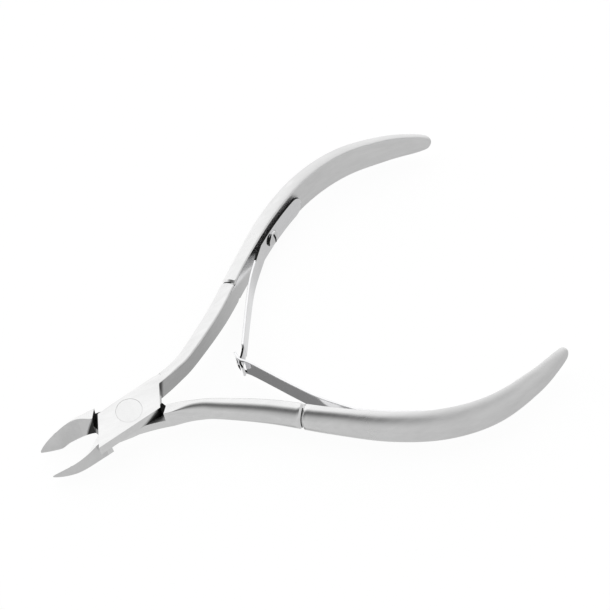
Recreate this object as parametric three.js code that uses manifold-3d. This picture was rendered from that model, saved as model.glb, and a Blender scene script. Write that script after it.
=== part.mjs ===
// Cuticle nipper: two forged halves crossing at a lap joint, a pivot rivet and a pair of hooked leaf springs.
// Millimetres. +X runs from the pivot towards the handle ends, +Y towards the front half's handle, and +Z
// out of the front face along the pivot axis. The origin is on the pivot axis in the joint's rear face.
//
// Each half is described in its own closed frame: the X axis is the line on which the closed cutting edges
// meet, z = 0 is the middle of the joint, and the handle lies at y > 0. The rear half is the same blank
// turned half a turn about X, with its jaw ground from the other side. At rest each half is turned by
// OPEN_ANGLE about the pivot, which is the open nipper.
import * as THREE from 'three';
import { mergeVertices } from 'three/addons/utils/BufferGeometryUtils.js';
import Module from 'manifold-3d';

const wasm = await Module();
wasm.setup();

const { degToRad } = THREE.MathUtils;

// ---- Driving dimensions ----
const OPEN_ANGLE = degToRad(9.25);      // turn of each half from closed to the open rest position
const JOINT_HALF = 3.0;                 // half the thickness of the lap joint
const LAP_GAP = 0.15;                   // half the gap between the two lap plates
const EPS = 0.05;                       // overlap that makes joined solids one body
const REACH = 24;                       // size of a cut that goes right past the joint

// Lap plate, in plan: its two ends are cut on a slant, and the other half's shoulders follow them.
const PLATE_HALF_WIDTH = 3.75;
const PLATE_END_X = 8.05;               // where a slanted end crosses the X axis
const PLATE_SLANT = 0.6;                // change of x along a slanted end for each mm of y
const PLATE_TOP_LEFT_Y = 3.6;
const FRONT_PLATE_CORNER = [8.9, 4.3];  // raised corner beside the front half's handle
const FRONT_PLATE_RIGHT_Y = 3.7;
const REAR_PLATE_CORNER = [-1.0, 3.25];  // the rear half's plate runs into the handle's neck
const REAR_PLATE_RIGHT_Y = 1.8;
const SHOULDER_GAP = 1.0;               // along X, between a plate's end and the other half's shoulder

// Handle stations from the joint to the end: x and y of the flat inner face, half width along Z, thickness.
const HANDLE_STATIONS = [
  [0.0, 0.9, 3.0, 2.2],
  [4.8, 1.15, 3.0, 2.15],
  [9.6, 1.55, 3.0, 2.4],
  [14.2, 2.2, 2.85, 3.4],
  [19.2, 3.5, 2.73, 3.55],
  [30.4, 8.4, 3.2, 4.0],
  [42.0, 15.2, 4.0, 4.0],
  [53.5, 20.9, 4.3, 4.4],
  [64.5, 24.3, 4.5, 4.35],
  [75.0, 24.6, 4.45, 3.95],
  [85.0, 21.7, 4.0, 3.0],
  [91.6, 18.4, 2.9, 2.15],
  [94.4, 16.8, 1.5, 1.5],
];
const SQUARE_END_X = 8.5;               // the joint's square section starts to round off here
const ROUND_START_X = 14.0;             // and from here on the handle's section is a full D
const SQUARE_POWER = 0.1;               // exponents of the section's outer curve: nearly a rectangle
const ROUND_POWER = 0.86;               // and nearly an ellipse
const EDGE_RADIUS = 0.5;                // along the two edges of the inner face
const GROOVE_X = 36.6;                  // V groove round the outer surface
const GROOVE_HALF_LENGTH = 0.5;
const GROOVE_DEPTH = 0.45;
const SECTION_SEGMENTS = 12;
const SECTION_STEP = 2.6;               // between sections along X
const END_SECTIONS = [93.2, 94.0, 94.4];

// Jaw stations from the joint to the tip: x, then the distances from the X axis of the outer edge at the
// front and at the rear, of the front crest's inner end and of the inner edge, then z of the crest and of the
// rear face.
const JAW_STATIONS = [
  [-6.0, 3.3, 3.1, 0.7, 0.7, 3.0, -3.0],
  [-8.4, 3.05, 3.1, 0.85, 0.7, 3.0, -3.0],
  [-9.8, 2.8, 3.05, 1.5, 0.95, 3.0, -3.05],
  [-10.3, 2.8, 3.0, 1.8, 0.98, 2.75, -3.1],
  [-11.4, 2.9, 2.9, 2.3, 1.0, 2.35, -3.25],
  [-12.8, 2.9, 2.75, 2.7, 0.95, 1.75, -3.5],
  [-14.6, 2.65, 2.5, 2.6, 0.75, 0.95, -3.75],
  [-16.4, 2.25, 2.1, 2.2, 0.04, 0.2, -3.95],
  [-18.7, 1.45, 1.35, 1.4, 0.04, -0.65, -3.65],
  [-20.4, 0.65, 0.6, 0.6, 0.04, -1.6, -3.2],
  [-21.2, 0.14, 0.12, 0.12, 0.04, -2.4, -2.9],
];
const EDGE_LAND = 0.3;                  // height of the narrow land along the cutting edge

// Pivot rivet: a shank with a flush head at each face.
const RIVET_HEAD_RADIUS = 2.85;
const RIVET_HEAD_DEPTH = 1.0;
const RIVET_SHANK_RADIUS = 1.7;
const ROUND_GAP = 0.3;                  // radial gap round the rivet and round the screw shanks
const ROUND_SEGMENTS = 40;

// Leaf springs. The foot lies along the inner face and the arm runs from it to the other leaf.
const LEAF_THICKNESS = 0.55;
const LEAF_GAP = 0.3;                   // between the foot and the handle
const FOOT_START_X = 61.6;              // round end of the foot
const FOOT_END_X = 46.6;                // where the leaf leaves the handle
const FOOT_HALF_WIDTH = 3.1;
const FOOT_ROUND_LENGTH = 2.6;
const FOOT_END_SHARE = 0.2;             // width left at the tip of the round end
const CROSSING = [26.45, -4.3];         // where the two leaves cross at rest
const ARM_POINTS = [[40.6, 11.8], [35.5, 6.1], [28.7, -2.1], CROSSING, [25.9, -6.4]];
const ARM_HALF_WIDTH = 2.7;             // beside the hook
const ARM_TAPER_SHARE = 0.6;            // share of the arm over which it narrows to that
const LEAF_STEP = 1.0;                  // between sections along the leaf
const HINGE_GAP = 0.3;                  // between foot and arm
const TONGUE_HALF_WIDTH = 1.7;          // upper leaf's end, which passes through the lower leaf's window
const TONGUE_LENGTH = 5.6;
const WINDOW_HALF_WIDTH = 2.05;
const WINDOW_BEFORE = 2.3;              // window length on the root side of the crossing
const WINDOW_AFTER = 1.2;               // and on the side of the leaf's end

// Spring screws: domed, slotted head and a short shank.
const SCREW_X = 50.6;
const SCREW_HEAD_RADIUS = 2.0;
const SCREW_HEAD_HEIGHT = 0.95;
const SCREW_SHANK_RADIUS = 1.0;
const SCREW_DEPTH = 2.2;                // how far the shank reaches into the handle
const SLOT_WIDTH = 0.5;
const SLOT_DEPTH = 0.4;
const SCREW_HEAD_RIM = 0.2;             // straight wall below the dome
const SCREW_HEAD_GAP = 0.1;             // between the head and the leaf
const DOME_STEPS = 6;

// ---- Solids ----
function toSolid(geometry) {
  const g = geometry.index ? geometry.clone() : geometry;
  g.deleteAttribute('normal');
  g.deleteAttribute('uv');
  const merged = mergeVertices(g, 1e-4);
  const mesh = new wasm.Mesh({
    numProp: 3,
    vertProperties: new Float32Array(merged.attributes.position.array),
    triVerts: new Uint32Array(merged.index.array),
  });
  return new wasm.Manifold(mesh);
}

function toGeometry(solid) {
  const mesh = solid.getMesh();
  const g = new THREE.BufferGeometry();
  g.setAttribute('position', new THREE.BufferAttribute(mesh.vertProperties, 3));
  g.setIndex(new THREE.BufferAttribute(mesh.triVerts, 1));
  return g;
}

// Skin through rings of equal point count, closed by a fan at each end and turned so that it faces outwards.
function loft(rings) {
  const count = rings[0].length;
  const points = rings.flat();
  const index = [];
  for (let r = 0; r + 1 < rings.length; r++) {
    for (let k = 0; k < count; k++) {
      const a = r * count + k;
      const b = r * count + (k + 1) % count;
      index.push(a, b, a + count, b, b + count, a + count);
    }
  }
  for (const [ring, start] of [[rings[0], 0], [rings.at(-1), points.length - count]]) {
    const centre = ring.reduce((sum, p) => sum.add(p), new THREE.Vector3()).divideScalar(count);
    points.push(centre);
    for (let k = 0; k < count; k++) {
      const pair = [start + k, start + (k + 1) % count];
      if (start === 0) pair.reverse();
      index.push(points.length - 1, ...pair);
    }
  }
  let volume = 0;
  for (let i = 0; i < index.length; i += 3) {
    const [a, b, c] = index.slice(i, i + 3).map((k) => points[k]);
    volume += a.dot(b.clone().cross(c));
  }
  if (volume < 0) index.reverse();
  const g = new THREE.BufferGeometry().setFromPoints(points);
  g.setIndex(index);
  return toSolid(g);
}

// Prism between two heights over a plan outline.
function prism(outline, z0, z1) {
  const shape = new THREE.Shape(outline.map(([x, y]) => new THREE.Vector2(x, y)));
  const g = new THREE.ExtrudeGeometry(shape, { depth: z1 - z0, bevelEnabled: false });
  return toSolid(g.translate(0, 0, z0));
}

// Solid of revolution about Z from [radius, z] pairs that start and end on the axis.
function turned(profile) {
  return toSolid(new THREE.LatheGeometry(profile.map(([r, z]) => new THREE.Vector2(r, z)), ROUND_SEGMENTS)
    .rotateX(Math.PI / 2));
}

// ---- Handle ----
const innerFace = new THREE.SplineCurve(HANDLE_STATIONS.map(([x, y]) => new THREE.Vector2(x, y)));
const bulk = new THREE.SplineCurve(HANDLE_STATIONS.map(([, , w, t]) => new THREE.Vector2(w, t)));

// The curve parameter at which the inner face reaches x.
function faceParameter(x) {
  let low = 0;
  let high = 1;
  for (let i = 0; i < 40; i++) {
    const middle = (low + high) / 2;
    if (innerFace.getPoint(middle).x < x) low = middle;
    else high = middle;
  }
  return (low + high) / 2;
}

// A point of the inner face, the direction along it and the direction out through the handle.
function faceFrame(u) {
  const at = innerFace.getPoint(u);
  const along = innerFace.getTangent(u);
  return { at, along, out: new THREE.Vector2(-along.y, along.x) };
}

// D section: flat inner face, rounded outer surface. Near the joint it is a rectangle.
function handleSection(u) {
  const { at, out } = faceFrame(u);
  const { x: halfWidth, y: thickness } = bulk.getPoint(u);
  const nearGroove = Math.max(0, 1 - Math.abs(at.x - GROOVE_X) / GROOVE_HALF_LENGTH);
  const cut = GROOVE_DEPTH * nearGroove;
  const roundness = THREE.MathUtils.smoothstep(at.x, SQUARE_END_X, ROUND_START_X);
  const power = THREE.MathUtils.lerp(SQUARE_POWER, ROUND_POWER, roundness);
  const radius = Math.min(EDGE_RADIUS * roundness + EPS, halfWidth / 4);
  const ring = [];
  const place = (h, z) => ring.push(new THREE.Vector3(at.x + out.x * h, at.y + out.y * h, z));
  place(0, -(halfWidth - cut - radius));
  for (let k = 0; k <= SECTION_SEGMENTS; k++) {
    const a = Math.PI * (k / SECTION_SEGMENTS - 0.5);
    const rise = (thickness - cut - radius) * Math.abs(Math.cos(a)) ** power;
    place(radius + rise, (halfWidth - cut) * Math.sign(a) * Math.abs(Math.sin(a)) ** power);
  }
  place(0, halfWidth - cut - radius);
  return ring;
}

function handleSolid() {
  const stops = [];
  const last = END_SECTIONS[0] - SECTION_STEP / 4;
  for (let x = HANDLE_STATIONS[0][0]; x < last; x += SECTION_STEP) stops.push(x);
  stops.push(...END_SECTIONS);
  const groove = [-1, 0, 1].map((k) => GROOVE_X + k * GROOVE_HALF_LENGTH);
  const clear = stops.filter((x) => Math.abs(x - GROOVE_X) > 2 * GROOVE_HALF_LENGTH);
  const all = [...clear, ...groove].sort((a, b) => a - b);
  return loft(all.map((x) => handleSection(faceParameter(x))));
}

// ---- Lap joint ----
// Fills the rear of the joint on one side of the slanted line x = x0 + slope * y, out to x = farX.
function rearRegion(x0, slope, farX) {
  const half = REACH / 2;
  const outline = [[farX, -half], [x0 - slope * half, -half], [x0 + slope * half, half], [farX, half]];
  return prism(outline, -3 * JOINT_HALF, LAP_GAP);
}

function plateSolid(side) {
  const corner = side > 0 ? FRONT_PLATE_CORNER : REAR_PLATE_CORNER;
  const rightY = side > 0 ? FRONT_PLATE_RIGHT_Y : REAR_PLATE_RIGHT_Y;
  const left = (y) => -PLATE_END_X + PLATE_SLANT * y;
  const right = (y) => PLATE_END_X + PLATE_SLANT * y;
  const outline = [
    [left(-PLATE_HALF_WIDTH), -PLATE_HALF_WIDTH],
    [right(-PLATE_HALF_WIDTH), -PLATE_HALF_WIDTH],
    [right(rightY), rightY],
    corner,
    [left(PLATE_TOP_LEFT_Y), PLATE_TOP_LEFT_Y],
  ];
  return prism(outline, LAP_GAP, JOINT_HALF);
}

// ---- Jaw ----
// side mirrors the jaw in the front-to-rear sense, because both jaws are ground on the front.
function jawSolid(side) {
  return loft(JAW_STATIONS.map(([x, outer, outerRear, crest, inner, zCrest, zRear]) => [
    [outerRear, zRear],
    [outer, zCrest],
    [crest, zCrest],
    [inner, zRear + EDGE_LAND],
    [inner, zRear],
  ].map(([y, z]) => new THREE.Vector3(x, -y, z * side))));
}

function rivetHole() {
  const head = RIVET_HEAD_RADIUS + ROUND_GAP;
  const shank = RIVET_SHANK_RADIUS + ROUND_GAP;
  const seat = JOINT_HALF - RIVET_HEAD_DEPTH - ROUND_GAP;
  const far = JOINT_HALF + 1;
  return turned([[0, -far], [head, -far], [head, -seat], [shank, -seat],
    [shank, seat], [head, seat], [head, far], [0, far]]);
}

function rivetSolid() {
  const seat = JOINT_HALF - RIVET_HEAD_DEPTH;
  return turned([[0, -JOINT_HALF], [RIVET_HEAD_RADIUS, -JOINT_HALF], [RIVET_HEAD_RADIUS, -seat],
    [RIVET_SHANK_RADIUS, -seat], [RIVET_SHANK_RADIUS, seat], [RIVET_HEAD_RADIUS, seat],
    [RIVET_HEAD_RADIUS, JOINT_HALF], [0, JOINT_HALF]]);
}

// One forged half in its closed frame. side is 1 for the front half and -1 for the rear half.
function halfSolid(side) {
  // The other half's plate lies behind this one, so the handle and the jaw stop at shoulders beside it.
  const shoulder = PLATE_END_X + SHOULDER_GAP;
  const handle = handleSolid().subtract(rearRegion(shoulder, -PLATE_SLANT, -REACH));
  const jaw = jawSolid(side).subtract(rearRegion(-shoulder, -PLATE_SLANT, REACH));
  return plateSolid(side).add(handle).add(jaw).subtract(rivetHole()).subtract(screwHole());
}

// ---- Springs and screws ----
// Moves a solid that is built round the Z axis so that it stands on the inner face at x, pointing inwards.
function seatedOnFace(solid, x) {
  const { at, along, out } = faceFrame(faceParameter(x));
  const m = new THREE.Matrix4().makeBasis(
    new THREE.Vector3(along.x, along.y, 0),
    new THREE.Vector3(0, 0, 1),
    new THREE.Vector3(-out.x, -out.y, 0),
  );
  m.setPosition(at.x, at.y, 0);
  return toSolid(toGeometry(solid).applyMatrix4(m));
}

function screwHole() {
  const r = SCREW_SHANK_RADIUS + ROUND_GAP;
  const floor = -SCREW_DEPTH - ROUND_GAP;
  const top = LEAF_GAP + 2 * LEAF_THICKNESS;
  return seatedOnFace(turned([[0, floor], [r, floor], [r, top], [0, top]]), SCREW_X);
}

function screwSolid() {
  const seat = LEAF_GAP + LEAF_THICKNESS + SCREW_HEAD_GAP;
  const rim = seat + SCREW_HEAD_RIM;
  const top = seat + SCREW_HEAD_HEIGHT;
  const profile = [[0, -SCREW_DEPTH], [SCREW_SHANK_RADIUS, -SCREW_DEPTH], [SCREW_SHANK_RADIUS, seat],
    [SCREW_HEAD_RADIUS, seat]];
  for (let k = 0; k < DOME_STEPS; k++) {
    const a = (Math.PI / 2) * (k / DOME_STEPS);
    profile.push([SCREW_HEAD_RADIUS * Math.cos(a), rim + (top - rim) * Math.sin(a)]);
  }
  profile.push([0, top]);
  const slot = new THREE.BoxGeometry(SLOT_WIDTH, 3 * SCREW_HEAD_RADIUS, 2 * SLOT_DEPTH).translate(0, 0, top);
  return seatedOnFace(turned(profile).subtract(toSolid(slot)), SCREW_X);
}

// Middle line of the leaf along the handle, in plan.
function footPoint(x) {
  const { at, out } = faceFrame(faceParameter(x));
  return at.clone().addScaledVector(out, -(LEAF_GAP + LEAF_THICKNESS / 2));
}

// Strip of spring steel along a plan curve. halfWidth(s) takes the distance along it.
function strip(curve, from, to, halfWidth) {
  const length = curve.getLength();
  const steps = Math.ceil((to - from) / LEAF_STEP);
  const rings = [];
  for (let k = 0; k <= steps; k++) {
    const s = THREE.MathUtils.lerp(from, to, k / steps);
    const at = curve.getPointAt(s / length);
    const along = curve.getTangentAt(s / length);
    const side = new THREE.Vector2(-along.y, along.x).multiplyScalar(LEAF_THICKNESS / 2);
    const w = halfWidth(s);
    rings.push([[1, -w], [1, w], [-1, w], [-1, -w]]
      .map(([face, z]) => new THREE.Vector3(at.x + side.x * face, at.y + side.y * face, z)));
  }
  return loft(rings);
}

const FOOT_POINTS = 5;
const footCurve = new THREE.SplineCurve(Array.from({ length: FOOT_POINTS }, (_, k) =>
  footPoint(THREE.MathUtils.lerp(FOOT_START_X, FOOT_END_X, k / (FOOT_POINTS - 1)))));
const armCurve = new THREE.SplineCurve([footPoint(FOOT_END_X),
  ...ARM_POINTS.map(([x, y]) => new THREE.Vector2(x, y))]);

function footSolid() {
  const round = (s) => {
    const inset = Math.max(0, 1 - s / FOOT_ROUND_LENGTH);
    return FOOT_HALF_WIDTH * Math.max(FOOT_END_SHARE, Math.sqrt(1 - inset * inset));
  };
  return strip(footCurve, 0, footCurve.getLength(), round).subtract(screwHole());
}

function armHalfWidth(s) {
  const taper = armCurve.getLength() * ARM_TAPER_SHARE;
  return THREE.MathUtils.lerp(FOOT_HALF_WIDTH, ARM_HALF_WIDTH, Math.min(1, s / taper));
}

// Arm whose narrow end goes through the other leaf.
function tongueArm() {
  const length = armCurve.getLength();
  const neck = length - TONGUE_LENGTH;
  const wide = strip(armCurve, HINGE_GAP, neck, armHalfWidth);
  return wide.add(strip(armCurve, neck - EPS, length, () => TONGUE_HALF_WIDTH));
}

// Distance along the arm at which it crosses the other leaf.
function crossingDistance() {
  const target = new THREE.Vector2(...CROSSING);
  const steps = 400;
  const points = Array.from({ length: steps + 1 }, (_, k) => armCurve.getPointAt(k / steps));
  const distances = points.map((p) => p.distanceTo(target));
  return armCurve.getLength() * distances.indexOf(Math.min(...distances)) / steps;
}

// Arm with a window near its end.
function windowArm() {
  const length = armCurve.getLength();
  const s = crossingDistance();
  const start = armCurve.getPointAt((s - WINDOW_BEFORE) / length);
  const end = armCurve.getPointAt((s + WINDOW_AFTER) / length);
  const run = end.clone().sub(start);
  const middle = start.clone().lerp(end, 0.5);
  const window = new THREE.BoxGeometry(run.length(), 6 * LEAF_THICKNESS, 2 * WINDOW_HALF_WIDTH)
    .rotateZ(run.angle())
    .translate(middle.x, middle.y, 0);
  return strip(armCurve, HINGE_GAP, length, armHalfWidth).subtract(toSolid(window));
}

// ---- Scene ----
const finishes = {
  satin: () => new THREE.MeshStandardMaterial({ color: 0xc9cacb, roughness: 0.38, metalness: 1.0 }),
  polished: () => new THREE.MeshStandardMaterial({ color: 0xb9babc, roughness: 0.16, metalness: 1.0 }),
};

function piece(name, solid, finish) {
  const mesh = new THREE.Mesh(toGeometry(solid), finishes[finish]());
  mesh.name = name;
  return mesh;
}

const frontHalf = new THREE.Group();
frontHalf.rotation.z = OPEN_ANGLE;
frontHalf.add(
  piece('front_half', halfSolid(1), 'satin'),
  piece('upper_spring_foot', footSolid(), 'polished'),
  piece('upper_spring_arm', tongueArm(), 'polished'),
  piece('upper_spring_screw', screwSolid(), 'polished'),
);

const rearHalf = new THREE.Group();
rearHalf.rotation.set(Math.PI, 0, -OPEN_ANGLE, 'ZXY');
rearHalf.add(
  piece('rear_half', halfSolid(-1), 'satin'),
  piece('lower_spring_foot', footSolid(), 'polished'),
  piece('lower_spring_arm', windowArm(), 'polished'),
  piece('lower_spring_screw', screwSolid(), 'polished'),
);

const nipper = new THREE.Group();
nipper.position.z = JOINT_HALF;
nipper.add(frontHalf, rearHalf, piece('pivot_rivet', rivetSolid(), 'polished'));

export default nipper;
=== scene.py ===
"""Looks for the cuticle nipper: two forged halves, a pivot rivet, two leaf springs and their screws."""

import math

import bmesh
import bpy
from mathutils import Matrix, Vector


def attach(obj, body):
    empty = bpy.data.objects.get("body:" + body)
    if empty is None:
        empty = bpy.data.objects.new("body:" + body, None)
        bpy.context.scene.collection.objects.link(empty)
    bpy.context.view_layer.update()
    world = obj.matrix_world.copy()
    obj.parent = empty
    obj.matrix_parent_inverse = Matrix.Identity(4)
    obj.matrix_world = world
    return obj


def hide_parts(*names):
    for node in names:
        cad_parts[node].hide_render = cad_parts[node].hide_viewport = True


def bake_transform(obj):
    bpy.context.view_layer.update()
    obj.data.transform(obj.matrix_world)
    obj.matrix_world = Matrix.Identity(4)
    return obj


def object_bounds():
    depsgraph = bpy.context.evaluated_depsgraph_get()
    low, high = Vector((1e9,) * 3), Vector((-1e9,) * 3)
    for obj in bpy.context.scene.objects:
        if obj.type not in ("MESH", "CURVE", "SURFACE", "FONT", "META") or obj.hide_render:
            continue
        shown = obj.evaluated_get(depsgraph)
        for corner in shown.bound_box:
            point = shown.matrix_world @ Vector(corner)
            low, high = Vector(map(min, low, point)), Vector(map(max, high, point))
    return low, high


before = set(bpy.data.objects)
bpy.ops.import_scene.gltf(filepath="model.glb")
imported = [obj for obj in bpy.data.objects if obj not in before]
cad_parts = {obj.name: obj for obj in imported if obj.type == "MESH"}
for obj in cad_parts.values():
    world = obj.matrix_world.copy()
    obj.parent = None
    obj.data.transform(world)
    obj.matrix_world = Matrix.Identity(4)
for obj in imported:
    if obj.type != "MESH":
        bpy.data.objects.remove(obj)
cad_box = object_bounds()

MM = 0.001                       # metres in a millimetre

# ---- Driving dimensions, in millimetres ----
# Each half is made in its closed frame, as in the CAD: X along the closing line with the jaw at x < 0, the
# handle at y > 0, and z = 0 at the lap plane.
OPEN_ANGLE = math.radians(9.25)
JOINT_HALF = 3.0
LAP_GAP = 0.04                   # half the gap between the two lap plates
PLATE_HALF_WIDTH = 3.75
PLATE_END_X = 8.05
PLATE_SLANT = 0.6
PLATE_TOP_LEFT_Y = 3.6
PLATE_CORNER = {1: (8.9, 4.3), -1: (-1.0, 3.25)}      # by side: 1 is the front half, -1 the rear
PLATE_RIGHT_Y = {1: 3.7, -1: 1.8}
CHAMFER_START_X = -2.0           # chamfer along the front plate's top edge, widening towards the handle
CHAMFER_END_X = 10.5
CHAMFER_WIDTH = 1.3
CHAMFER_DEPTH = 0.9
CHAMFER_START_SHARE = 0.02       # of that width and depth, where it starts
CHAMFER_OVERSHOOT = 1.0          # how far its cutter reaches past the plate
SHOULDER_GAP = 1.0
JAW_SHOULDER_X = -8.52           # where the jaw's shoulder crosses the X axis, halfway up its cutter
JAW_SHOULDER_SLANT = 0.45
JAW_SHOULDER_LEAN = 0.2          # how much further out it is at the lap plane, the cutter's top
REACH = 24.0                     # size of a cut that goes right past the joint
FORGING_EDGE = 0.09              # width of the softened edges of a handle and its lap plate

# x and y of the flat inner face, half width along Z, thickness
HANDLE_STATIONS = [
    (0.0, 0.9, 3.0, 2.2), (4.8, 1.15, 3.0, 2.15), (9.6, 1.55, 3.0, 2.4), (14.2, 2.2, 2.85, 3.2),
    (19.2, 3.5, 2.73, 3.5), (30.4, 8.4, 3.2, 4.0), (42.0, 15.2, 4.0, 4.0), (53.5, 20.9, 4.3, 4.4),
    (64.5, 24.3, 4.5, 4.35), (75.0, 24.6, 4.45, 3.95), (85.0, 21.7, 4.0, 3.0), (91.6, 18.4, 2.9, 2.15),
    (94.4, 16.8, 1.5, 1.5),
]
SQUARE_END_X = 8.0               # the joint's square section starts to round off here
ROUND_START_X = 15.0             # and from here on the handle's section is a full D
SQUARE_POWER = 0.03              # exponents of the section's outer curve: nearly a rectangle
ROUND_POWER = 0.86               # and nearly an ellipse
ROOT_EDGE_RADIUS = 0.05          # along the two edges of the inner face, where the section is square
EDGE_RADIUS = 0.3                # and what a full D adds to it
EDGE_STEPS = 4
SKIN = 0.03                      # how far the handles' skin stays inside the CAD's
GROOVE_X = 36.6                  # V groove across the handle's back
GROOVE_HALF_LENGTH = 0.5
GROOVE_DEPTH = 0.45
GROOVE_STEPS = 5
GROOVE_SHADE_HALF = 0.13          # half width of the groove's bottom, which is painted black as shade
GROOVE_SHADE_DEPTH = 1.0          # how far from the inner face that painted shade starts
SECTION_SEGMENTS = 36
SECTION_STEP = 0.7               # between two sections along X
END_ROUND_LENGTH = 1.1           # over which the handle's end rounds off
END_STEPS = 8

# x, outer edge at the front and at the rear, crest's inner end, inner edge, z of the crest and of the rear
JAW_STATIONS = [
    (-6.0, 3.3, 3.1, 0.7, 0.7, 3.0, -3.0), (-8.4, 3.05, 3.1, 0.85, 0.7, 3.0, -3.0),
    (-9.3, 2.85, 3.05, 1.2, 0.9, 3.0, -3.05), (-10.3, 2.8, 3.0, 1.8, 0.98, 2.75, -3.1),
    (-11.4, 2.9, 2.9, 2.3, 1.0, 2.35, -3.25), (-12.8, 2.9, 2.75, 2.7, 0.95, 1.75, -3.5),
    (-14.6, 2.65, 2.5, 2.6, 0.75, 0.95, -3.75), (-16.4, 2.25, 2.1, 2.2, 0.04, 0.2, -3.95),
    (-18.7, 1.45, 1.35, 1.4, 0.04, -0.65, -3.65), (-20.4, 0.65, 0.6, 0.6, 0.04, -1.6, -3.2),
    (-21.2, 0.14, 0.12, 0.12, 0.04, -2.4, -2.9),
]
JAW_SUBSTEPS = 5                 # sections between two stations
EDGE_LAND = 0.3                  # height of the narrow flat along the cutting edge

RIVET_RADIUS = 2.95
RIVET_GAP = 0.02                 # between the rivet and its hole
RIVET_EDGE = 0.04
ROUND_SEGMENTS = 96

LEAF_THICKNESS = 0.55
LEAF_GAP = 0.3                   # between a handle's inner face and the leaf on it
FOOT_START_X = 61.6              # the foot lies along the handle from its round end to where the arm leaves
FOOT_END_X = 46.6
FOOT_HALF_WIDTH = 3.1
FOOT_ROUND_LENGTH = 2.6
FOOT_ROUND_STEPS = 24
FOOT_END_SHARE = 0.2             # of the half width, at the tip of the round end
FOOT_POINTS = 5
CROSSING = (26.45, -4.3)         # where the two arms pass through each other
ARM_POINTS = [(40.6, 11.8), (35.5, 6.1), (28.7, -2.1), CROSSING, (25.9, -6.4)]
ARM_HALF_WIDTH = 2.7
ARM_TAPER_SHARE = 0.6
LEAF_STEP = 0.35
LEAF_EDGE = 0.12                 # radius along the leaf's edges
LEAF_EDGE_STEPS = 3
TIP_LENGTH = 3 * LEAF_EDGE       # over which the arm's end narrows a little
TIP_INSET = 2 * LEAF_EDGE
TIP_STEP = 0.7 * LEAF_EDGE       # between the extra sections there
TIP_STEPS = 4
TONGUE_HALF_WIDTH = 1.7
TONGUE_LENGTH = 5.6
TONGUE_SHOULDER = 0.35           # length over which the leaf narrows to the tongue
TONGUE_SHOULDER_STEPS = 4
WINDOW_HALF_WIDTH = 2.05
WINDOW_BEFORE = 1.5              # how far the window reaches on either side of the crossing
WINDOW_AFTER = 1.2
WINDOW_EDGE = 0.06

SCREW_X = 50.6
SCREW_HEAD_RADIUS = 2.0
SCREW_HEAD_HEIGHT = 0.95
SCREW_SHANK_RADIUS = 1.0
SCREW_DEPTH = 2.0
SLOT_WIDTH = 0.5
SLOT_DEPTH = 0.4
SCREW_HEAD_RIM = 0.2             # height of the head's cylindrical rim below its dome
SCREW_HEAD_CHAMFER = 0.08
SCREW_EDGE = 0.05
DOME_STEPS = 12

LENGTH_STEPS = 1200              # chords that measure a curve's length, an even number
BISECTIONS = 40

# A face that takes a material of its own is known by its place, in the closed frame, and by its direction.
ON_PLANE = 0.05                  # how far a face's middle may lie from the plane it belongs to
JAW_SHOULDER_SPAN = (-10.5, -5)  # along X
MOUTH_WALL_SPAN = (-12, 0)
MOUTH_WALL_Y = (-1.6, 0)
INNER_FACE_END_X = 42.0
# FACING is the least part of its normal along the axis that it faces, UPRIGHT the greatest part along Z.
FACING = {"lap": 0.9, "shoulder": 0.8, "jaw_shoulder": 0.7, "plate_wall": 0.95, "mouth_wall": 0.8,
          "leaf_edge": 0.35, "window_wall": 0.9, "screw_shadow": 0.62}
UPRIGHT = {"jaw": 0.8, "inner_face": 0.5}
SCREW_SHADOW_RISE = 0.6          # Z part of the screw's shadowed direction, against 1 towards the joint


# ---- Curves ----
def lerp(a, b, t):
    return a + (b - a) * t


def smoothstep(x, low, high):
    t = min(1.0, max(0.0, (x - low) / (high - low)))
    return t * t * (3 - 2 * t)


class Spline:
    """Uniform Catmull-Rom curve through points of any size."""

    def __init__(self, points):
        self.points = [Vector(p) for p in points]
        self.table = None

    def at(self, u):
        last = len(self.points) - 1
        place = min(max(u, 0.0), 1.0) * last
        i = min(int(place), last - 1)
        t = place - i
        p0 = self.points[max(i - 1, 0)]
        p1, p2 = self.points[i], self.points[i + 1]
        p3 = self.points[min(i + 2, last)]
        v0, v1 = (p2 - p0) * 0.5, (p3 - p1) * 0.5
        a = (p1 - p2) * 2 + v0 + v1
        b = (p2 - p1) * 3 - v0 * 2 - v1
        return ((a * t + b) * t + v0) * t + p1

    def tangent(self, u):
        step = 1e-4
        return (self.at(min(u + step, 1.0)) - self.at(max(u - step, 0.0))).normalized()

    def length_table(self):
        """Length of the curve up to each of LENGTH_STEPS + 1 even parameters."""
        if self.table is None:
            self.table = [0.0]
            before = self.at(0)
            for k in range(1, LENGTH_STEPS + 1):
                now = self.at(k / LENGTH_STEPS)
                self.table.append(self.table[-1] + (now - before).length)
                before = now
        return self.table

    def length(self):
        return self.length_table()[-1]

    def parameter(self, s):
        """Parameter at distance s along the curve."""
        table = self.length_table()
        low, high = 0, len(table) - 1
        while high - low > 1:
            middle = (low + high) // 2
            if table[middle] < s:
                low = middle
            else:
                high = middle
        share = (s - table[low]) / (table[high] - table[low])
        return (low + min(max(share, 0.0), 1.0)) / (len(table) - 1)


class SmoothPath:
    """Quadratic B-spline, which rounds the corners between points of any size without overshooting."""

    def __init__(self, points):
        points = [Vector(p) for p in points]
        self.points = [points[0] * 2 - points[1]] + points + [points[-1]]

    def at(self, u):
        spans = len(self.points) - 2
        place = min(max(u, 0.0), 1.0) * spans
        i = min(int(place), spans - 1)
        t = place - i
        a, b, c = self.points[i:i + 3]
        return a * (0.5 * (1 - t) ** 2) + b * (0.5 + t * (1 - t)) + c * (0.5 * t * t)


inner_face = Spline([(x, y) for x, y, w, t in HANDLE_STATIONS])
bulk = Spline([(w, t) for x, y, w, t in HANDLE_STATIONS])
jaw_form = SmoothPath(JAW_STATIONS)


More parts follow.
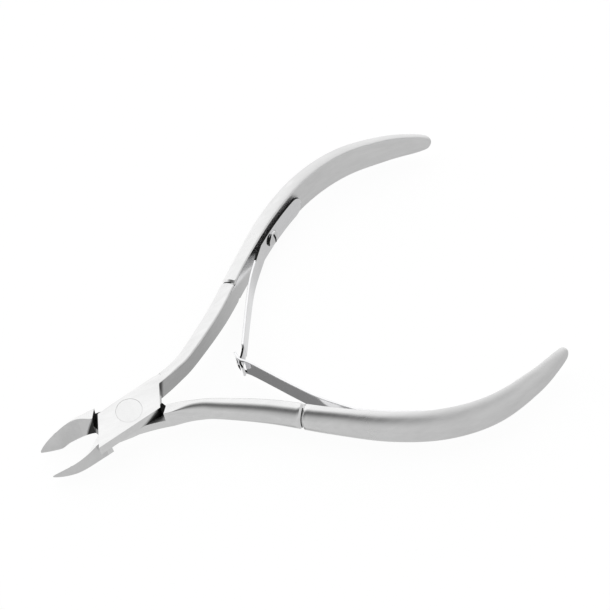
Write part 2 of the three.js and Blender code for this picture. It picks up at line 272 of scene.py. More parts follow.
def face_parameter(x):
    """Parameter of the inner face at x."""
    low, high = 0.0, 1.0
    for _ in range(BISECTIONS):
        middle = (low + high) / 2
        if inner_face.at(middle).x < x:
            low = middle
        else:
            high = middle
    return (low + high) / 2


def face_frame(x):
    """Point of the inner face, direction along it, and direction out through the handle."""
    u = face_parameter(x)
    along = inner_face.tangent(u)
    return inner_face.at(u), along, Vector((-along.y, along.x))


# ---- Meshes, in millimetres ----
def new_object(name, vertices, faces):
    mesh = bpy.data.meshes.new(name)
    mesh.from_pydata(vertices, [], faces)
    mesh.validate()
    obj = bpy.data.objects.new(name, mesh)
    bpy.context.scene.collection.objects.link(obj)
    return obj


def loft(name, rings):
    """Closed skin through rings of equal point count."""
    count = len(rings[0])
    vertices = [p for ring in rings for p in ring]
    faces = []
    for r in range(len(rings) - 1):
        for k in range(count):
            a, b = r * count + k, r * count + (k + 1) % count
            faces.append((a, b, b + count, a + count))
    faces.append(tuple(range(count - 1, -1, -1)))
    last = len(vertices) - count
    faces.append(tuple(range(last, last + count)))
    obj = new_object(name, vertices, faces)
    face_outwards(obj)
    return obj


def face_outwards(obj):
    """Turns every face of a closed mesh to the outside."""
    bm = bmesh.new()
    bm.from_mesh(obj.data)
    bmesh.ops.recalc_face_normals(bm, faces=bm.faces)
    if bm.calc_volume(signed=True) < 0:
        bmesh.ops.reverse_faces(bm, faces=bm.faces)
    bm.to_mesh(obj.data)
    bm.free()


def prism(name, outline, z0, z1):
    """Outline in X and Y, drawn out from z0 to z1."""
    return loft(name, [[(x, y, z) for x, y in outline] for z in (z0, z1)])


def turned(name, profile):
    """Solid of revolution about Z through (radius, z) pairs off the axis, closed by flat ends."""
    turns = [2 * math.pi * k / ROUND_SEGMENTS for k in range(ROUND_SEGMENTS)]
    return loft(name, [[(r * math.cos(a), r * math.sin(a), z) for a in turns] for r, z in profile])


def apply_modifiers(obj):
    """Puts the modifiers' result in place of the mesh."""
    depsgraph = bpy.context.evaluated_depsgraph_get()
    mesh = bpy.data.meshes.new_from_object(obj.evaluated_get(depsgraph))
    obj.modifiers.clear()
    old = obj.data
    obj.data = mesh
    bpy.data.meshes.remove(old)


def combine(obj, other, operation):
    """Joins other to obj or cuts it from obj, and removes other."""
    modifier = obj.modifiers.new("combine", "BOOLEAN")
    modifier.object = other
    modifier.operation = operation
    modifier.solver = "MANIFOLD"
    apply_modifiers(obj)
    bpy.data.objects.remove(other)


def soften_edges(obj, width, angle):
    """Rounds the edges that turn by more than angle, in degrees, over the given width."""
    modifier = obj.modifiers.new("edges", "BEVEL")
    modifier.width = width
    modifier.segments = 2
    modifier.limit_method = "ANGLE"
    modifier.angle_limit = math.radians(angle)
    modifier.miter_outer = "MITER_ARC"
    apply_modifiers(obj)


def finish_mesh(obj, place, smooth_angle=30):
    """Moves a mesh from its closed frame to its rest place in metres, and smooths it."""
    obj.data.transform(Matrix.Scale(MM, 4) @ place)
    face_outwards(obj)
    obj.data.shade_smooth()
    obj.data.set_sharp_from_angle(angle=math.radians(smooth_angle))
    modifier = obj.modifiers.new("normals", "WEIGHTED_NORMAL")
    modifier.keep_sharp = True
    apply_modifiers(obj)
    return obj


LIFT = Matrix.Translation((0, 0, JOINT_HALF))
FRONT_PLACE = LIFT @ Matrix.Rotation(OPEN_ANGLE, 4, "Z")
REAR_PLACE = LIFT @ Matrix.Rotation(-OPEN_ANGLE, 4, "Z") @ Matrix.Rotation(math.pi, 4, "X")


# ---- Handle ----
def handle_section(x, shrink):
    """Ring of the D section at x. shrink is 1, or less where the end rounds off."""
    at, along, out = face_frame(x)
    half_width, thickness = bulk.at(face_parameter(x))
    groove = max(0.0, 1 - abs(x - GROOVE_X) / GROOVE_HALF_LENGTH)
    cut = GROOVE_DEPTH * groove
    roundness = smoothstep(x, SQUARE_END_X, ROUND_START_X)
    power = lerp(SQUARE_POWER, ROUND_POWER, roundness)
    radius = min(EDGE_RADIUS * roundness + ROOT_EDGE_RADIUS, half_width / 4)
    w, t = half_width - cut - SKIN, thickness - cut - SKIN
    ring = []
    for k in range(EDGE_STEPS):
        a = math.pi / 2 * k / EDGE_STEPS
        ring.append((radius * (1 - math.cos(a)), -(w - radius + radius * math.sin(a))))
    for k in range(SECTION_SEGMENTS + 1):
        a = math.pi * (k / SECTION_SEGMENTS - 0.5)
        rise = (t - radius) * abs(math.cos(a)) ** power
        ring.append((radius + rise, w * math.copysign(abs(math.sin(a)) ** power, a)))
    for k in reversed(range(EDGE_STEPS)):
        a = math.pi / 2 * k / EDGE_STEPS
        ring.append((radius * (1 - math.cos(a)), w - radius + radius * math.sin(a)))
    middle = thickness / 2
    ring = [(middle + (h - middle) * shrink, z * shrink) for h, z in ring]
    return [(at.x + out.x * h, at.y + out.y * h, z) for h, z in ring]


def handle(name):
    """D-section handle with its round end. Regular sections near the groove give way to the groove's own."""
    end = HANDLE_STATIONS[-1][0]
    round_start = end - END_ROUND_LENGTH
    stops = [GROOVE_X + GROOVE_HALF_LENGTH * k / GROOVE_STEPS
             for k in range(-GROOVE_STEPS, GROOVE_STEPS + 1)]
    steps = math.ceil(round_start / SECTION_STEP)
    regular = [round_start * k / steps for k in range(steps + 1)]
    stops += [x for x in regular if abs(x - GROOVE_X) > GROOVE_HALF_LENGTH + SECTION_STEP / 3]
    rings = [handle_section(x, 1.0) for x in sorted(stops)]
    for k in range(1, END_STEPS):
        a = math.pi / 2 * k / END_STEPS
        rings.append(handle_section(round_start + END_ROUND_LENGTH * math.sin(a), math.cos(a)))
    return loft(name, rings)


# ---- Lap joint and jaw ----
def rear_region(x0, slope, far_x):
    """Space of the other half's plate: below the lap plane, from a slanted wall through x0 to far_x."""
    reach = REACH / 2
    outline = [(far_x, -reach), (x0 - slope * reach, -reach), (x0 + slope * reach, reach), (far_x, reach)]
    return prism("cut", outline, -3 * JOINT_HALF, LAP_GAP)


def jaw_shoulder_cut():
    """Space behind the jaw's shoulder, which leans out towards the lap plane."""
    reach = REACH / 2
    slant = JAW_SHOULDER_SLANT * reach
    rings = []
    for z, lean in ((-3 * JOINT_HALF, JAW_SHOULDER_LEAN), (LAP_GAP, -JAW_SHOULDER_LEAN)):
        x = JAW_SHOULDER_X + lean
        rings.append([(REACH, -reach, z), (x + slant, -reach, z), (x - slant, reach, z), (REACH, reach, z)])
    return loft("cut", rings)


def plate(side):
    """Lap plate, its two ends cut on a slant."""
    def corner(end_x, y):
        return end_x + PLATE_SLANT * y, y

    outline = [
        corner(-PLATE_END_X, -PLATE_HALF_WIDTH),
        corner(PLATE_END_X, -PLATE_HALF_WIDTH),
        corner(PLATE_END_X, PLATE_RIGHT_Y[side]),
        PLATE_CORNER[side],
        corner(-PLATE_END_X, PLATE_TOP_LEFT_Y),
    ]
    return prism("plate", outline, LAP_GAP, JOINT_HALF)


def top_chamfer():
    """Wedge that is cut from the front plate's top edge."""
    left = -PLATE_END_X + PLATE_SLANT * PLATE_TOP_LEFT_Y
    right, right_y = PLATE_CORNER[1]
    over = CHAMFER_OVERSHOOT
    rings = []
    for x, share in ((CHAMFER_START_X, CHAMFER_START_SHARE), (CHAMFER_END_X, 1.0)):
        width, depth = CHAMFER_WIDTH * share, CHAMFER_DEPTH * share
        y = lerp(PLATE_TOP_LEFT_Y, right_y, (x - left) / (right - left))
        rise = depth / width * over
        rings.append([(x, y - width - over, JOINT_HALF + rise), (x, y + over, JOINT_HALF - depth - rise),
                      (x, y + over, JOINT_HALF + 2 * over)])
    return loft("chamfer", rings)


def inner_edge(x):
    """Distance of the mouth's edge from the closing line, straight between stations."""
    if x > JAW_STATIONS[0][0]:
        return JAW_STATIONS[0][4]
    for (x0, *_, inner0, _, _), (x1, *_, inner1, _, _) in zip(JAW_STATIONS, JAW_STATIONS[1:]):
        if x0 >= x >= x1:
            return lerp(inner0, inner1, (x0 - x) / (x0 - x1))
    return JAW_STATIONS[-1][4]


def jaw(side):
    """Jaw that narrows to its cutting edge. The rear half's is ground from the other face."""
    steps = JAW_SUBSTEPS * (len(JAW_STATIONS) - 1)
    rings = []
    for k in range(steps + 1):
        x, outer, outer_rear, crest, _, z_crest, z_rear = jaw_form.at(k / steps)
        inner = inner_edge(x)
        outline = [(outer_rear, z_rear), (outer, z_crest), (crest, z_crest),
                   (inner, z_rear + EDGE_LAND), (inner, z_rear)]
        rings.append([(x, -y, z * side) for y, z in outline])
    return loft("jaw", rings)


def half(name, side):
    """One forging. Its edges are softened before the jaw is joined, so that the cutting edge stays sharp."""
    shoulder = PLATE_END_X + SHOULDER_GAP
    body = handle(name)
    combine(body, rear_region(shoulder, -PLATE_SLANT, -REACH), "DIFFERENCE")
    combine(body, plate(side), "UNION")
    if side > 0:
        combine(body, top_chamfer(), "DIFFERENCE")
    soften_edges(body, FORGING_EDGE, angle=32)
    tip = jaw(side)
    combine(tip, jaw_shoulder_cut(), "DIFFERENCE")
    combine(body, tip, "UNION")
    r = RIVET_RADIUS + RIVET_GAP
    combine(body, turned("hole", [(r, -2 * JOINT_HALF), (r, 2 * JOINT_HALF)]), "DIFFERENCE")
    for face in body.data.polygons:
        face.material_index = joint_face_kind(face, side)
    return body


def in_groove(point):
    """Whether a point lies at the bottom of the groove, which is painted black as shade."""
    at, along, out = face_frame(GROOVE_X)
    offset = point.to_2d() - at
    return abs(offset.dot(along)) < GROOVE_SHADE_HALF and offset.dot(out) > GROOVE_SHADE_DEPTH


def within(value, span):
    return span[0] < value < span[1]


def joint_face_kind(face, side):
    """Material of a half's face: 1 lap, 2 shoulders and groove, 3 walls beside them, 4 jaw, 5 inner face.
    Kinds 1, 3 and 5 carry painted shade, and 2 is painted black for shadow.
    """
    x, y, z = face.center
    normal = face.normal
    shoulder = PLATE_END_X + SHOULDER_GAP
    if abs(z) < 2 * LAP_GAP and abs(normal.z) > FACING["lap"]:
        return 1
    if abs(normal.x) > FACING["shoulder"] and abs(x - shoulder + PLATE_SLANT * y) < ON_PLANE:
        return 2
    if abs(normal.x) > FACING["jaw_shoulder"] and z < 0 and within(x, JAW_SHOULDER_SPAN):
        return 2
    if side > 0 and z > 0 and normal.y < -FACING["plate_wall"] and abs(y + PLATE_HALF_WIDTH) < ON_PLANE:
        return 3
    if (side < 0 and normal.y > FACING["mouth_wall"]
            and within(y, MOUTH_WALL_Y) and within(x, MOUTH_WALL_SPAN)):
        return 3
    if x < JAW_SHOULDER_X and abs(normal.z) < UPRIGHT["jaw"]:
        return 4
    if in_groove(face.center):
        return 2
    if (side > 0 and within(x, (0, INNER_FACE_END_X)) and y > 0 and normal.y < 0
            and abs(normal.z) < UPRIGHT["inner_face"]):
        return 5
    return 0


# ---- Rivet ----
def rivet(name):
    """Pin through the joint, flush at both faces."""
    end_radius, side_half = RIVET_RADIUS - RIVET_EDGE, JOINT_HALF - RIVET_EDGE
    return turned(name, [(end_radius, -JOINT_HALF), (RIVET_RADIUS, -side_half),
                         (RIVET_RADIUS, side_half), (end_radius, JOINT_HALF)])


# ---- Springs ----
def foot_point(x):
    """Point of the leaf's middle line where it lies along the handle."""
    at, along, out = face_frame(x)
    return at - out * (LEAF_GAP + LEAF_THICKNESS / 2)


foot_curve = Spline([foot_point(lerp(FOOT_START_X, FOOT_END_X, k / (FOOT_POINTS - 1)))
                     for k in range(FOOT_POINTS)])
arm_curve = Spline([foot_point(FOOT_END_X)] + ARM_POINTS)


def leaf_path(s):
    """Point and direction at distance s from the round end, along the foot and then the arm."""
    foot = foot_curve.length()
    curve, place = (foot_curve, s) if s <= foot else (arm_curve, s - foot)
    u = curve.parameter(place)
    return curve.at(u), curve.tangent(u)


def leaf_half_width(s, tongue):
    """Half width at distance s from the round end. A leaf with a tongue narrows to it near its other end."""
    foot, arm = foot_curve.length(), arm_curve.length()
    if s < FOOT_ROUND_LENGTH:
        inset = 1 - s / FOOT_ROUND_LENGTH
        return FOOT_HALF_WIDTH * max(FOOT_END_SHARE, math.sqrt(1 - inset * inset))
    along_arm = max(0.0, s - foot)
    width = lerp(FOOT_HALF_WIDTH, ARM_HALF_WIDTH, min(1.0, along_arm / (arm * ARM_TAPER_SHARE)))
    if tongue:
        width = lerp(width, TONGUE_HALF_WIDTH,
                     smoothstep(along_arm, arm - TONGUE_LENGTH - TONGUE_SHOULDER, arm - TONGUE_LENGTH))
    left = foot + arm - s
    if left < TIP_LENGTH:
        width -= TIP_INSET * (1 - left / TIP_LENGTH) ** 2
    return width


def leaf(name, tongue):
    """Leaf spring as one strip with rounded edges, closer sections at its shaped places."""
    total = foot_curve.length() + arm_curve.length()
    steps = math.ceil(total / LEAF_STEP)
    stops = [total * k / steps for k in range(steps + 1)]
    stops += [FOOT_ROUND_LENGTH * k / FOOT_ROUND_STEPS for k in range(1, FOOT_ROUND_STEPS)]
    stops += [total - TONGUE_LENGTH - TONGUE_SHOULDER * k / TONGUE_SHOULDER_STEPS
              for k in range(TONGUE_SHOULDER_STEPS + 1)]
    stops += [total - TIP_STEP * k for k in range(1, TIP_STEPS + 1)]
    rings = []
    for s in sorted(set(round(v, 4) for v in stops)):
        at, along = leaf_path(min(s, total))
        side = Vector((-along.y, along.x))
        w = leaf_half_width(s, tongue)
        h = LEAF_THICKNESS / 2
        ring = []
        for face, turn in ((1, -1), (1, 1), (-1, 1), (-1, -1)):
            arc = []
            for k in range(LEAF_EDGE_STEPS + 1):
                a = math.pi / 2 * k / LEAF_EDGE_STEPS
                arc.append((h - LEAF_EDGE + LEAF_EDGE * math.sin(a), w - LEAF_EDGE + LEAF_EDGE * math.cos(a)))
            if face * turn > 0:
                arc.reverse()
            ring += [(face * across, turn * z) for across, z in arc]
        rings.append([(at.x + side.x * c, at.y + side.y * c, z) for c, z in ring])
    return loft(name, rings)


def crossing_distance():
    """Distance from the round end to where the arms cross."""
    target = Vector(CROSSING)
    best = min(range(0, LENGTH_STEPS + 1, 2),
               key=lambda k: (arm_curve.at(k / LENGTH_STEPS) - target).length)
    return foot_curve.length() + arm_curve.length_table()[best]


def cut_window(obj):
    """Cuts the window that the other leaf's tongue passes through."""
    s = crossing_distance()
    start, _ = leaf_path(s - WINDOW_BEFORE)
    end, _ = leaf_path(s + WINDOW_AFTER)
    along = (end - start).normalized()
    side = Vector((-along.y, along.x)) * LEAF_THICKNESS * 3
    outline = [start - side, end - side, end + side, start + side]
    cutter = prism("window", [(p.x, p.y) for p in outline], -WINDOW_HALF_WIDTH, WINDOW_HALF_WIDTH)
    combine(obj, cutter, "DIFFERENCE")
    soften_edges(obj, WINDOW_EDGE, angle=50)


def mark_shadow_faces(obj, shaded_foot):
    """Gives the black painted-shadow material to the window's walls, and to the foot's edges where they are
    sheared, for the shade in the window and along the foot.
    """
    window_x = CROSSING[0] + 2 * WINDOW_BEFORE
    foot_x = (ARM_POINTS[0][0] + FOOT_END_X) / 2
    for face in obj.data.polygons:
        x, y, z = face.center
        sideways = abs(face.normal.z)
        on_foot = shaded_foot and x > foot_x and sideways > FACING["leaf_edge"]
        in_window = (abs(z) < WINDOW_HALF_WIDTH + ON_PLANE and x < window_x
                     and sideways > FACING["window_wall"])
        face.material_index = int(on_foot or in_window)


# ---- Screws ----
def screw(name):
    """Slotted screw with a domed head, turned about Z and then set into the handle's inner face."""
    seat = LEAF_GAP + LEAF_THICKNESS
    rim = seat + SCREW_HEAD_RIM
    top = seat + SCREW_HEAD_HEIGHT
    profile = [(SCREW_SHANK_RADIUS, -SCREW_DEPTH), (SCREW_SHANK_RADIUS, seat),
               (SCREW_HEAD_RADIUS - SCREW_HEAD_CHAMFER, seat), (SCREW_HEAD_RADIUS, seat + SCREW_HEAD_CHAMFER)]
    for k in range(DOME_STEPS):
        a = math.pi / 2 * k / DOME_STEPS
        profile.append((SCREW_HEAD_RADIUS * math.cos(a), rim + (top - rim) * math.sin(a)))
    obj = turned(name, profile)
    w, l = SLOT_WIDTH / 2, 2 * SCREW_HEAD_RADIUS
    slot_box = prism("slot", [(-w, -l), (w, -l), (w, l), (-w, l)], top - SLOT_DEPTH, top + 1)
    combine(obj, slot_box, "DIFFERENCE")
    soften_edges(obj, SCREW_EDGE, angle=40)
    at, along, out = face_frame(SCREW_X)
    basis = Matrix(((along.x, 0, -out.x, at.x), (along.y, 0, -out.y, at.y), (0, 1, 0, 0), (0, 0, 0, 1)))
    obj.data.transform(basis)
    return obj


def mark_screw_shadow(obj):
    """Gives the second material to the slot and to the head's side that faces the joint."""
    at, along, out = face_frame(SCREW_X)
    shadowed = Vector((-along.x, -along.y, SCREW_SHADOW_RISE)).normalized()
    for face in obj.data.polygons:
        height = -(face.center.to_2d() - at).dot(out)
        on_head = height > LEAF_GAP + LEAF_THICKNESS
        turned_away = face.normal.dot(shadowed) > FACING["screw_shadow"]
        face.material_index = int(on_head and turned_away)


# ---- Materials ----
CLOUD_SCALE = 160                # of the handling marks
NOISE_SPAN = (0.3, 0.7)          # where most of a noise texture's values lie
MARK_TONE = 0.03                 # how far brush marks and handling marks change the tone
CLOUD_TONE = 0.02
TONE_SPAN = (-0.4, 0.1)
DARK_SHARE = 0.6                 # of a steel's colour, at either end of its tones
LIGHT_SHARE = 1.1
RUBBED_SPAN = (0.52, 0.6)        # pointiness over which an edge is rubbed brighter
SHADE = (0.02, 0.02, 0.02, 1)
RELIEF_STRENGTH = 0.5
GRIP_FADE = (0.036, 0.06)        # metres along X over which the handles turn from glossy to matt


def add_node(tree, kind, **settings):
    """New node with the given properties."""
    node = tree.nodes.new(kind)
    for key, value in settings.items():
        setattr(node, key, value)
    return node


def noise(tree, vector, scale, detail, stretch=(1, 1, 1)):
    """Noise over object coordinates in metres, drawn out where stretch is below 1."""
    mapping = add_node(tree, "ShaderNodeMapping")
    mapping.inputs["Scale"].default_value = stretch
    tree.links.new(vector, mapping.inputs["Vector"])
    texture = add_node(tree, "ShaderNodeTexNoise")
    texture.inputs["Scale"].default_value = scale
    texture.inputs["Detail"].default_value = detail
    tree.links.new(mapping.outputs["Vector"], texture.inputs["Vector"])
    return texture.outputs["Fac"]


def remap(tree, value, low, high, to_low, to_high):
    """Value with the span from low to high carried over to the span from to_low to to_high."""
    node = add_node(tree, "ShaderNodeMapRange")
    for name, number in (("From Min", low), ("From Max", high), ("To Min", to_low), ("To Max", to_high)):
        node.inputs[name].default_value = number
    tree.links.new(value, node.inputs["Value"])
    return node.outputs["Result"]


def combine_values(tree, operation, a, b):
    """Result of a math node on two sockets."""
    node = add_node(tree, "ShaderNodeMath", operation=operation)
    tree.links.new(a, node.inputs[0])
    tree.links.new(b, node.inputs[1])
    return node.outputs["Value"]


def steel(name, colour, roughness, spread, grain, stretch, bump, wear, grip=0, shades=(), metallic=1.0):
    """Metal with drawn-out brush marks, cloudy handling marks and edges rubbed brighter.

    spread is how far the roughness varies, grain and stretch are the scale and the drawing-out of the brush
    marks, bump is their depth in millimetres, wear how much brighter the edges are, and grip the roughness
    that is added over the handles' outer part. Each of shades paints shade: a direction, the distances in
    millimetres along it between which the colour turns dark, and how dark it turns."""
    material = bpy.data.materials.new(name)
    material.use_nodes = True
    tree = material.node_tree
    shader = tree.nodes["Principled BSDF"]
    shader.inputs["Metallic"].default_value = metallic
    shader.inputs["Specular IOR Level"].default_value = 0.5 * metallic
    where = add_node(tree, "ShaderNodeTexCoord").outputs["Object"]
    marks = noise(tree, where, grain, detail=3, stretch=stretch)
    clouds = noise(tree, where, CLOUD_SCALE, detail=4)
    pointed = add_node(tree, "ShaderNodeNewGeometry").outputs["Pointiness"]
    rubbed = remap(tree, pointed, *RUBBED_SPAN, 0, wear)

    tone = combine_values(tree, "ADD", remap(tree, marks, *NOISE_SPAN, -MARK_TONE, MARK_TONE),
                          remap(tree, clouds, *NOISE_SPAN, -CLOUD_TONE, CLOUD_TONE))
    tone = combine_values(tree, "ADD", tone, rubbed)
    mix = add_node(tree, "ShaderNodeMix", data_type="RGBA")
    mix.inputs["A"].default_value = tuple(c * DARK_SHARE for c in colour) + (1,)
    mix.inputs["B"].default_value = tuple(min(1.0, c * LIGHT_SHARE) for c in colour) + (1,)
    tree.links.new(remap(tree, tone, *TONE_SPAN, 0, 1), mix.inputs["Factor"])
    base = mix.outputs["Result"]
    for direction, low, high, depth in shades:
        dot = add_node(tree, "ShaderNodeVectorMath", operation="DOT_PRODUCT")
        tree.links.new(where, dot.inputs[0])
        dot.inputs[1].default_value = direction
        darken = add_node(tree, "ShaderNodeMix", data_type="RGBA")
        share = remap(tree, dot.outputs["Value"], low * MM, high * MM, 0, depth)
        tree.links.new(share, darken.inputs["Factor"])
        tree.links.new(base, darken.inputs["A"])
        darken.inputs["B"].default_value = SHADE
        base = darken.outputs["Result"]
    tree.links.new(base, shader.inputs["Base Color"])

    rough = combine_values(tree, "ADD",
                           remap(tree, marks, *NOISE_SPAN, roughness - spread / 2, roughness + spread / 2),
                           remap(tree, clouds, *NOISE_SPAN, -spread / 4, spread / 4))
    rough = combine_values(tree, "SUBTRACT", rough, rubbed)
    if grip:
        parts = add_node(tree, "ShaderNodeSeparateXYZ")
        tree.links.new(where, parts.inputs[0])
        rough = combine_values(tree, "ADD", rough, remap(tree, parts.outputs[0], *GRIP_FADE, 0, grip))
    tree.links.new(rough, shader.inputs["Roughness"])

    relief = add_node(tree, "ShaderNodeBump")
    relief.inputs["Strength"].default_value = RELIEF_STRENGTH
    relief.inputs["Distance"].default_value = bump * MM
    tree.links.new(marks, relief.inputs["Height"])
    tree.links.new(relief.outputs["Normal"], shader.inputs["Normal"])
    return material


def show(obj, materials, body, nodes):
    """Gives a piece its materials, in the order of its faces' kinds, and ties it to the record."""
    kinds = [face.material_index for face in obj.data.polygons]
    obj.data.materials.clear()
    for material in materials:
        obj.data.materials.append(material)
    for face, kind in zip(obj.data.polygons, kinds):
        face.material_index = min(kind, len(materials) - 1)
    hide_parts(*nodes)
    if body:
        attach(obj, body)


FRONT_ALONG = Vector((math.cos(OPEN_ANGLE), math.sin(OPEN_ANGLE), 0))
REAR_ALONG = Vector((math.cos(OPEN_ANGLE), -math.sin(OPEN_ANGLE), 0))
REAR_INWARDS = Vector((math.sin(OPEN_ANGLE), math.cos(OPEN_ANGLE), 0))
UPWARDS = Vector((0, 0, 1))

BARE = (0.80, 0.80, 0.80)
FACET = (0.72, 0.72, 0.72)
MOUTH = (0.76, 0.76, 0.76)
# Grey painted as the shade on the lap faces between the two halves.
LAP_SHADE_GREY = (0.42, 0.42, 0.42)
# Near black, painted as the shadow in the shoulders, the groove, the leaf's window and foot edges and on the
# screw heads.
SHADOW_BLACK = (0.02, 0.02, 0.02)
SPRING = (0.87, 0.87, 0.88)
COARSE, BRUSHED, GROUND, FINE = 600, 900, 1100, 1500     # scale of the brush marks
EVEN = (1, 1, 1)                                         # and the axis along which they are drawn out
ALONG_X, ALONG_Y, ALONG_Z = (0.25, 1, 1), (1, 0.25, 1), (1, 1, 0.3)

# In order: roughness and its spread, scale and direction of the brush marks, their depth, wear.
# Each half's outside, and the front half's inner face, with painted shade that darkens it towards the joint
# and a painted shadow band where it meets the plate.
satin = steel("satin_steel", BARE, 0.14, 0.05, BRUSHED, ALONG_X, 0.003, 0.04, grip=0.42)
shaded = steel("inner_face_steel", BARE, 0.16, 0.05, BRUSHED, ALONG_X, 0.003, 0.04, grip=0.42,
               shades=[(-FRONT_ALONG, -44, -22, 0.36), (-FRONT_ALONG + 0.21 * UPWARDS, -9.0, -8.3, 0.9)])
# The walls of the joint and the mouth, with painted shade where the other half stands over them, and the
# jaws' facets.
walled = steel("plate_wall_steel", BARE, 0.16, 0.05, BRUSHED, ALONG_Y, 0.003, 0.04,
               shades=[(FRONT_ALONG - 1.6 * UPWARDS, -5.2, -2.6, 1)])
mouthed = steel("mouth_wall_steel", MOUTH, 0.36, 0.08, GROUND, ALONG_Z, 0.006, 0.03,
                shades=[(REAR_ALONG - 0.375 * UPWARDS, -10.7, -10.2, 1)])
ground = steel("ground_steel", FACET, 0.38, 0.08, GROUND, ALONG_Z, 0.006, 0.03)
# Lap faces painted grey for the shade between the halves and darker towards the slot, black painted shadow,
# the rivet's end, the springs and the screws.
lap_shade = steel("lap_shade_steel", LAP_SHADE_GREY, 0.4, 0.1, COARSE, EVEN, 0.01, 0.03,
               shades=[(REAR_INWARDS, -2.9, -2.0, 1)])
# Black painted shadow for the shoulders, the jaw's notch, the groove, the leaves' dark faces and the screw
# heads' shaded side.
shadow_black = steel("painted_shadow_steel", SHADOW_BLACK, 0.6, 0.1, COARSE, EVEN, 0.01, 0.01, metallic=0.1)
faced = steel("faced_steel", BARE, 0.2, 0.08, BRUSHED, (1, 0.2, 1), 0.01, 0.05)
polished = steel("polished_spring", SPRING, 0.12, 0.05, FINE, (0.2, 1, 1), 0.004, 0.05)
bright = steel("screw_steel", BARE, 0.08, 0.04, FINE, EVEN, 0.003, 0.05)

# ---- Pieces ----
front = finish_mesh(half("front_half_forging", 1), FRONT_PLACE)
show(front, [satin, lap_shade, shadow_black, walled, ground, shaded], "front_half", ["front_half"])
rear = finish_mesh(half("rear_half_forging", -1), REAR_PLACE)
show(rear, [satin, lap_shade, shadow_black, mouthed, ground], "rear_half", ["rear_half"])
pin = finish_mesh(rivet("pivot_rivet_pin"), FRONT_PLACE)
show(pin, [faced], "front_half", ["pivot_rivet"])

for level, place, body in (("upper", FRONT_PLACE, "front_half"), ("lower", REAR_PLACE, "rear_half")):
    spring = leaf(f"{level}_leaf_spring", level == "upper")
    if level == "lower":
        cut_window(spring)
    mark_shadow_faces(spring, shaded_foot=level == "upper")
    finish_mesh(spring, place, smooth_angle=40)
    foot_node, arm_node = f"{level}_spring_foot", f"{level}_spring_arm"
    show(spring, [polished, shadow_black], None, [foot_node, arm_node])
    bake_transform(spring)

    head = screw(f"{level}_slotted_screw")
    mark_screw_shadow(head)
    finish_mesh(head, place, smooth_angle=35)
    show(head, [bright, shadow_black], body, [f"{level}_spring_screw"])

# ---- Floor ----
FLOOR_SIZE = 8.0
FLOOR_GREY = 0.1                 # what the floor reflects, and the even light it gives off
FLOOR_GLOW = 0.93
bpy.ops.mesh.primitive_grid_add(x_subdivisions=4, y_subdivisions=4, size=FLOOR_SIZE,
                                location=(0, 0, cad_box[0][2]))
floor = bpy.context.object
floor.name = "floor"
floor.visible_glossy = False
paper = bpy.data.materials.new("white_paper")
paper.use_nodes = True
sheet = paper.node_tree.nodes["Principled BSDF"]
sheet.inputs["Base Color"].default_value = (FLOOR_GREY, FLOOR_GREY, FLOOR_GREY, 1)
sheet.inputs["Roughness"].default_value = 0.9
sheet.inputs["Specular IOR Level"].default_value = 0.0
sheet.inputs["Emission Color"].default_value = (1, 1, 1, 1)
sheet.inputs["Emission Strength"].default_value = FLOOR_GLOW
floor.data.materials.append(paper)

# ---- Studio light ----
# The steel reflects a bright box behind the nipper, a dark band overhead, a fill in front and a grey table.
BOX_LIGHT = 1.09
CEILING_STOPS = [(-1, 0.7), (-0.65, 0.68), (-0.43, 0.5), (-0.28, 0.32), (-0.12, 0.17), (0.04, 0.17),
                 (0.2, 0.55), (0.33, BOX_LIGHT), (1, BOX_LIGHT)]
RIGHT_STOPS = [(-1, 0.7), (0, 0.75), (0.33, BOX_LIGHT)]      # the ceiling's right side has no dark band
TABLE_LIGHT = (0.67, 0.6)        # to the left and to the right
PATCH_LIGHT = 0.23               # of a dark patch in the table, with its inner and outer angles in degrees
PATCH_DIRECTION = (-0.51, 0.16, -0.84)
PATCH_ANGLES = (9, 21)
world = bpy.data.worlds.new("studio")
bpy.context.scene.world = world
world.use_nodes = True
sky = world.node_tree
background = sky.nodes["Background"]
background.inputs["Color"].default_value = (1, 1, 1, 1)
heading = add_node(sky, "ShaderNodeTexCoord").outputs["Generated"]
split = add_node(sky, "ShaderNodeSeparateXYZ")
sky.links.new(heading, split.inputs[0])
heading_part = {"x": split.outputs[0], "y": split.outputs[1], "z": split.outputs[2]}


def smooth_ramp(value, low, high):
    """0 where the value is low and 1 where it is high."""
    node = add_node(sky, "ShaderNodeMapRange", interpolation_type="SMOOTHSTEP", clamp=True)
    node.inputs["From Min"].default_value = low
    node.inputs["From Max"].default_value = high
    sky.links.new(value, node.inputs["Value"])
    return node.outputs["Result"]


def ramp_along(axis, low, high):
    """0 where the direction's part along an axis is low, 1 where it is high."""
    return smooth_ramp(heading_part[axis], low, high)


def stops_along(axis, stops):
    """Light level by the direction's part along an axis, from (part, level) pairs."""
    ramp = add_node(sky, "ShaderNodeValToRGB")
    sky.links.new(remap(sky, heading_part[axis], -1, 1, 0, 1), ramp.inputs["Fac"])
    elements = ramp.color_ramp.elements
    while len(elements) < len(stops):
        elements.new(0.5)
    for element, (part, light) in zip(elements, stops):
        element.position = (part + 1) / 2
        element.color = (light, light, light, 1)
    return ramp.outputs["Color"]


def between(factor, low, high):
    """low where factor is 0 and high where it is 1. Each is a level or a socket."""
    node = add_node(sky, "ShaderNodeMix", data_type="FLOAT")
    sky.links.new(factor, node.inputs["Factor"])
    for name, value in (("A", low), ("B", high)):
        if isinstance(value, (int, float)):
            node.inputs[name].default_value = value
        else:
            sky.links.new(value, node.inputs[name])
    return node.outputs["Result"]


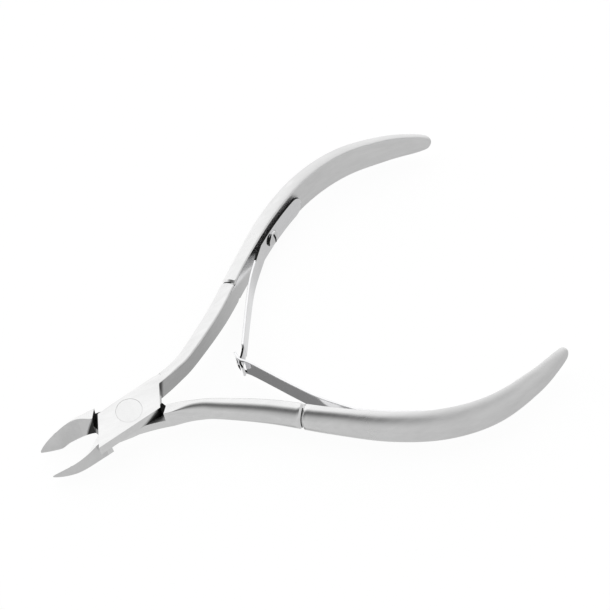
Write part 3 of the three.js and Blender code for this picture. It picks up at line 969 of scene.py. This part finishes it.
def spot(direction, inner, outer):
    """1 within the inner angle of a direction, 0 outside the outer one, in degrees."""
    dot = add_node(sky, "ShaderNodeVectorMath", operation="DOT_PRODUCT")
    sky.links.new(heading, dot.inputs[0])
    dot.inputs[1].default_value = Vector(direction).normalized()
    return smooth_ramp(dot.outputs["Value"], math.cos(math.radians(outer)), math.cos(math.radians(inner)))


# Each of these turns from one level to the next over a span of the direction's part along an axis.
ceiling = between(ramp_along("x", 0.1, 0.5), stops_along("y", CEILING_STOPS), stops_along("y", RIGHT_STOPS))
table = between(ramp_along("x", 0.0, 0.55), *TABLE_LIGHT)
table = between(ramp_along("y", 0.2, 0.6), table, BOX_LIGHT)
level = between(ramp_along("z", 0.1, -0.2), ceiling, table)
level = between(spot(PATCH_DIRECTION, *PATCH_ANGLES), level, PATCH_LIGHT)
sky.links.new(level, background.inputs["Strength"])

LAMP_PLACE = (0.1, 0.35, 0.8)    # a weak softbox, over and behind the nipper
LAMP_TARGET = Vector((0.03, 0, 0))
lamp_data = bpy.data.lights.new("softbox", "AREA")
lamp_data.shape = "RECTANGLE"
lamp_data.size = 0.9
lamp_data.size_y = 0.6
lamp_data.energy = 0.02
softbox = bpy.data.objects.new("softbox", lamp_data)
softbox.location = LAMP_PLACE
bpy.context.scene.collection.objects.link(softbox)
softbox.rotation_euler = (LAMP_TARGET - softbox.location).to_track_quat("-Z", "Y").to_euler()

# ---- Camera ----
CAMERA_PLACE = (-0.038932, -0.306898, 0.505906)
CAMERA_RIGHT = Vector((0.89395975, -0.43211544, -0.1187948))
CAMERA_UP = Vector((0.42515731, 0.73394782, 0.52968091))
camera_data = bpy.data.cameras.new("camera")
camera_data.sensor_width = 36
camera_data.lens = 158.54
camera_data.clip_start = 0.01
camera = bpy.data.objects.new("camera", camera_data)
bpy.context.scene.collection.objects.link(camera)
turn = Matrix((CAMERA_RIGHT, CAMERA_UP, CAMERA_RIGHT.cross(CAMERA_UP))).transposed().to_4x4()
camera.matrix_world = Matrix.Translation(CAMERA_PLACE) @ turn
bpy.context.scene.camera = camera
bpy.context.scene.view_settings.view_transform = "Standard"
